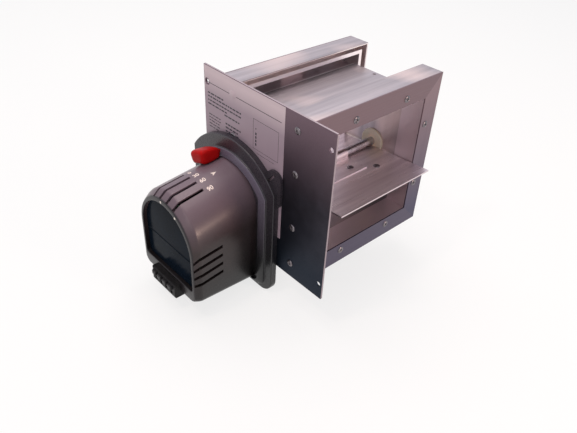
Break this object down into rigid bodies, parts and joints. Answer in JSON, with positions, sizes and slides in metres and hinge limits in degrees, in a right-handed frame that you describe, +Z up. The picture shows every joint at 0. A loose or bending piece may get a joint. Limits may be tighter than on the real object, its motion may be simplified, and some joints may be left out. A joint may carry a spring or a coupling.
{
  "type": "volume control damper",
  "caption": "Square slide-in duct damper: extruded frame with one blade on a shaft, a cover plate and a plug-on geared actuator with release latch.",
  "frame": {"origin": "centre of the plate's four-screw pattern, on the plate's back face", "axes": "+X from the plate into the duct, along the blade's shaft; Y along the air flow; +Z up"},
  "size_m": [0.2381, 0.167, 0.1875],
  "materials": {
    "frame_aluminium": "mill finish extrusion",
    "plate_steel": "galvanised, light spangle",
    "rivet_steel": "plated, slightly dull",
    "key_steel": "plated pressing",
    "label_film": "satin polyester film",
    "shaft_steel": "ground and plated",
    "blade_aluminium": "rolled sheet",
    "bearing_nylon": "natural nylon",
    "actuator_plastic": "moulded, fine texture",
    "panel_plastic": "polished smoked window",
    "latch_plastic": "moulded, semi-gloss",
    "terminal_plastic": "moulded",
    "button_plastic": "moulded",
    "lens_plastic": "clear light pipe",
    "gear_acetal": "natural acetal",
    "gear_brass": "cut",
    "axle_steel": "ground pin",
    "mount_steel": "plated sheet",
    "motor_can": "drawn can",
    "board_laminate": "solder mask",
    "screw_steel": "zinc plated"
  },
  "bodies": {
    "damper_body": {"frame_top": "frame_aluminium", "frame_right": "frame_aluminium", "frame_bottom": "frame_aluminium", "frame_left": "frame_aluminium", "corner_keys": "key_steel", "flange_rivets": "rivet_steel", "mounting_plate": "plate_steel", "plate_rivets": "rivet_steel", "data_label": "label_film", "bearing_far": "bearing_nylon", "bearing_near": "bearing_nylon", "base_pan": "actuator_plastic", "base_cover": "actuator_plastic", "base_screws": "screw_steel", "cover_screws": "screw_steel", "motor_screws": "screw_steel", "gear_axles": "axle_steel", "motor_mount": "mount_steel", "motor": "motor_can", "circuit_board": "board_laminate", "housing": "actuator_plastic", "front_panel": "panel_plastic", "status_lenses": "lens_plastic", "terminal_block": "terminal_plastic"},
    "blade_assembly": {"blade_shaft": "shaft_steel", "blade": "blade_aluminium", "shaft_saddle": "blade_aluminium", "blade_rivets": "rivet_steel", "drive_gear": "gear_acetal"},
    "idler": {"idler_gear": "gear_acetal"},
    "reducer": {"reduction_gear": "gear_acetal"},
    "motor_rotor": {"motor_pinion": "gear_brass"},
    "latch": {"release_latch": "latch_plastic"},
    "button_1": {"terminal_button_1": "button_plastic"},
    "button_2": {"terminal_button_2": "button_plastic"},
    "button_3": {"terminal_button_3": "button_plastic"},
    "button_4": {"terminal_button_4": "button_plastic"}
  },
  "joints": [
    {"name": "blade_turn", "type": "hinge", "parent": "damper_body", "child": "blade_assembly", "pos_m": [0.07, -0.003, -0.006], "axis": [-1, 0, 0], "range_deg": [-3.9, 68]},
    {"name": "idler_turn", "type": "hinge", "parent": "damper_body", "child": "idler", "pos_m": [-0.0044, 0.01421, -0.02273], "axis": [-1, 0, 0], "range_deg": [-95.7, 5.96]},
    {"name": "reducer_turn", "type": "hinge", "parent": "damper_body", "child": "reducer", "pos_m": [-0.007, 0.02568, -0.03389], "axis": [-1, 0, 0], "range_deg": [-9.6, 159.17]},
    {"name": "motor_turn", "type": "hinge", "parent": "damper_body", "child": "motor_rotor", "pos_m": [-0.01, 0.04054, -0.05643], "axis": [-1, 0, 0], "range_deg": [-555.83, 32.35]},
    {"name": "latch_slide", "type": "hinge", "parent": "damper_body", "child": "latch", "pos_m": [-0.012, 0.034, -0.041], "axis": [-1, 0, 0], "range_deg": [0, 8]},
    {"name": "button_1_press", "type": "slide", "parent": "damper_body", "child": "button_1", "axis": [1, 0, 0], "range_m": [0, 0.0015], "stiffness_N_per_m": 900, "springref_m": -0.0006},
    {"name": "button_2_press", "type": "slide", "parent": "damper_body", "child": "button_2", "axis": [1, 0, 0], "range_m": [0, 0.0015], "stiffness_N_per_m": 900, "springref_m": -0.0006},
    {"name": "button_3_press", "type": "slide", "parent": "damper_body", "child": "button_3", "axis": [1, 0, 0], "range_m": [0, 0.0015], "stiffness_N_per_m": 900, "springref_m": -0.0006},
    {"name": "button_4_press", "type": "slide", "parent": "damper_body", "child": "button_4", "axis": [1, 0, 0], "range_m": [0, 0.0015], "stiffness_N_per_m": 900, "springref_m": -0.0006}
  ],
  "couplings": [
    {"joint": "idler_turn", "follows": "blade_turn", "ratio": -1.4},
    {"joint": "reducer_turn", "follows": "blade_turn", "ratio": 2.3333},
    {"joint": "motor_turn", "follows": "blade_turn", "ratio": -8.1667}
  ]
}
